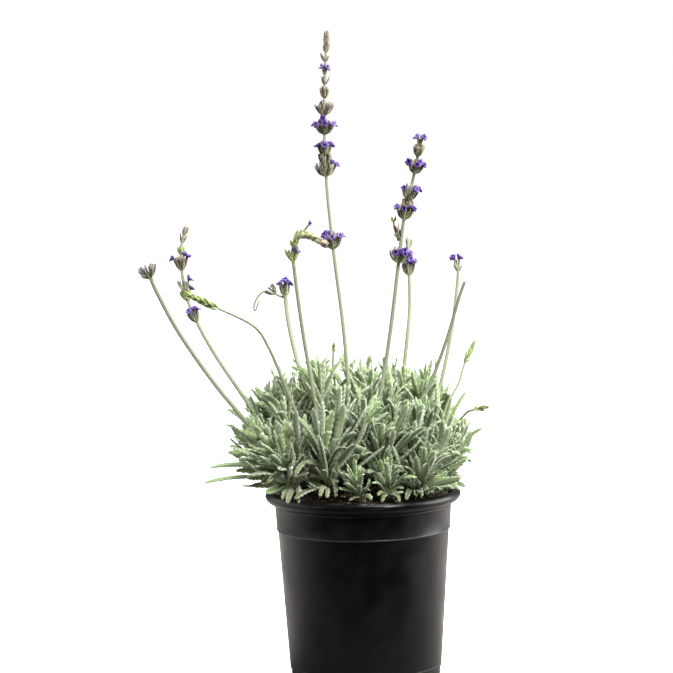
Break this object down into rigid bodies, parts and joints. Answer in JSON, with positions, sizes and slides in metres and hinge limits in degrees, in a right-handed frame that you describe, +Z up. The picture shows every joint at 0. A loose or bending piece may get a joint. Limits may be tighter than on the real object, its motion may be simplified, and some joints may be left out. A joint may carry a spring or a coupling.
{
  "type": "potted lavender",
  "caption": "Bushy grey-green lavender plant with violet flower spikes on long stalks, growing in a round black nursery pot with a rolled rim.",
  "frame": {"origin": "centre of the pot's underside, on the surface that the pot stands on", "axes": "+Z up, -Y towards the side that the picture shows, +X to its right"},
  "size_m": [0.2891, 0.2045, 0.5472],
  "materials": {
    "pot": "satin",
    "soil": "matte",
    "leaves": "matte",
    "stalks": "matte",
    "green_buds": "matte",
    "florets": "matte"
  },
  "bodies": {
    "root": {"pot": "pot", "soil": "soil", "shoot_01": "leaves", "shoot_02": "leaves", "shoot_03": "leaves", "shoot_04": "leaves", "shoot_05": "leaves", "shoot_06": "leaves", "shoot_07": "leaves", "shoot_08": "leaves", "shoot_09": "leaves", "shoot_10": "leaves", "shoot_11": "leaves", "shoot_12": "leaves", "shoot_13": "leaves", "shoot_14": "leaves", "shoot_15": "leaves", "shoot_16": "leaves", "shoot_17": "leaves", "shoot_18": "leaves", "shoot_19": "leaves", "shoot_20": "leaves", "shoot_21": "leaves", "shoot_22": "leaves", "shoot_23": "leaves", "shoot_24": "leaves", "shoot_25": "leaves", "stalk_tall": "stalks", "stalk_right": "stalks", "stalk_short": "stalks", "stalk_far_right": "stalks", "stalk_cut": "stalks", "stalk_left": "stalks", "stalk_left_spike": "stalks", "stalk_arching": "green_buds", "stalk_inner": "stalks", "stalk_bent": "stalks", "stalk_bud_high": "green_buds", "stalk_bud_low": "green_buds", "stalk_bud_back": "green_buds", "florets_tall_base": "florets", "florets_tall_low": "florets", "florets_tall_middle": "florets", "florets_tall_ring": "florets", "florets_tall_top": "florets", "florets_right_base": "florets", "florets_right_middle": "florets", "florets_right_upper": "florets", "florets_right_head": "florets", "florets_right_top": "florets", "florets_short_low": "florets", "florets_far_right_single": "florets", "florets_left_spike_base": "florets", "florets_left_spike_low": "florets", "florets_left_spike_middle": "florets", "florets_left_spike_side": "florets", "florets_left_spike_upper": "florets", "florets_inner_head": "florets", "florets_bent_side": "florets"}
  },
  "joints": []
}
